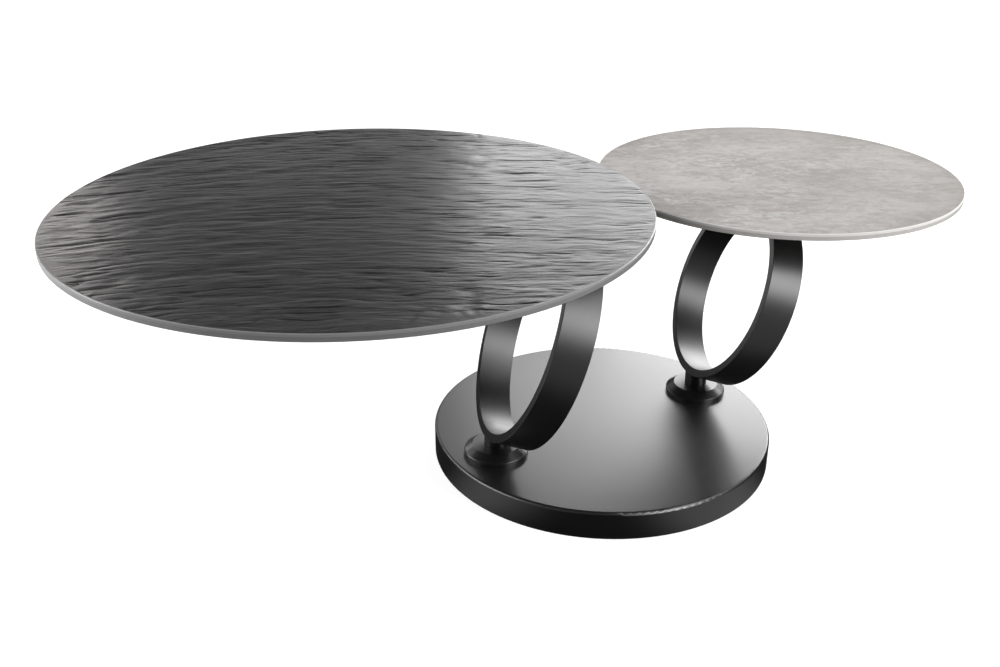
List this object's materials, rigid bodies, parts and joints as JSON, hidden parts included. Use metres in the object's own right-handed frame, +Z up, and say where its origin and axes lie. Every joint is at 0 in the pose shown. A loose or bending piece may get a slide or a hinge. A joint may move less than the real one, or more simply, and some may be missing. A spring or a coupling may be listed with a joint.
{
  "type": "swivel coffee table",
  "caption": "Swivel coffee table: a large slate-look and a smaller concrete-look round top, each on a leaning ring that turns on a post in a heavy round base.",
  "frame": {"origin": "middle of the round base on the floor, at the underside of the middle glide", "axes": "+Z up, -Y is the front, +X to the right; the open table is longest along X"},
  "size_m": [1.2974, 0.9302, 0.4038],
  "materials": {
    "base_coat": "satin",
    "frame_coat": "satin",
    "ballast_iron": "rough cast",
    "screw_steel": "satin",
    "bush_bronze": "satin",
    "felt": "matte",
    "adhesive": "matte",
    "dark_glass": "back-painted grey, ground edge",
    "pale_glass": "back-painted light grey, ground edge",
    "slate_ceramic": "riven slate relief, satin",
    "stone_ceramic": "concrete look, matte"
  },
  "bodies": {
    "base": {"base_cover": "base_coat", "ballast": "ballast_iron", "bottom_plate": "base_coat", "bottom_plate_screws": "screw_steel", "glides": "felt", "big_bearing_housing": "frame_coat", "big_upper_bush": "bush_bronze", "big_lower_bush": "bush_bronze", "big_ring_nut": "screw_steel", "small_bearing_housing": "frame_coat", "small_upper_bush": "bush_bronze", "small_lower_bush": "bush_bronze", "small_ring_nut": "screw_steel"},
    "big_table": {"big_spindle": "frame_coat", "big_pivot_washer": "screw_steel", "big_spring_washer": "screw_steel", "big_lock_nut": "screw_steel", "big_ring": "frame_coat", "big_head_block": "frame_coat", "big_mounting_plate": "frame_coat", "big_head_screws": "screw_steel", "big_bond_layer": "adhesive", "big_glass": "dark_glass", "big_ceramic": "slate_ceramic"},
    "small_table": {"small_spindle": "frame_coat", "small_pivot_washer": "screw_steel", "small_spring_washer": "screw_steel", "small_lock_nut": "screw_steel", "small_ring": "frame_coat", "small_head_block": "frame_coat", "small_mounting_plate": "frame_coat", "small_head_screws": "screw_steel", "small_bond_layer": "adhesive", "small_glass": "pale_glass", "small_ceramic": "stone_ceramic"}
  },
  "joints": [
    {"name": "big_swivel", "type": "hinge", "parent": "base", "child": "big_table", "pos_m": [-0.15858, -0.09528, 0.057], "axis": [0, 0, 1], "continuous": true},
    {"name": "small_swivel", "type": "hinge", "parent": "base", "child": "small_table", "pos_m": [0.15858, 0.09528, 0.057], "axis": [0, 0, 1], "range_deg": [-85, 70]}
  ]
}
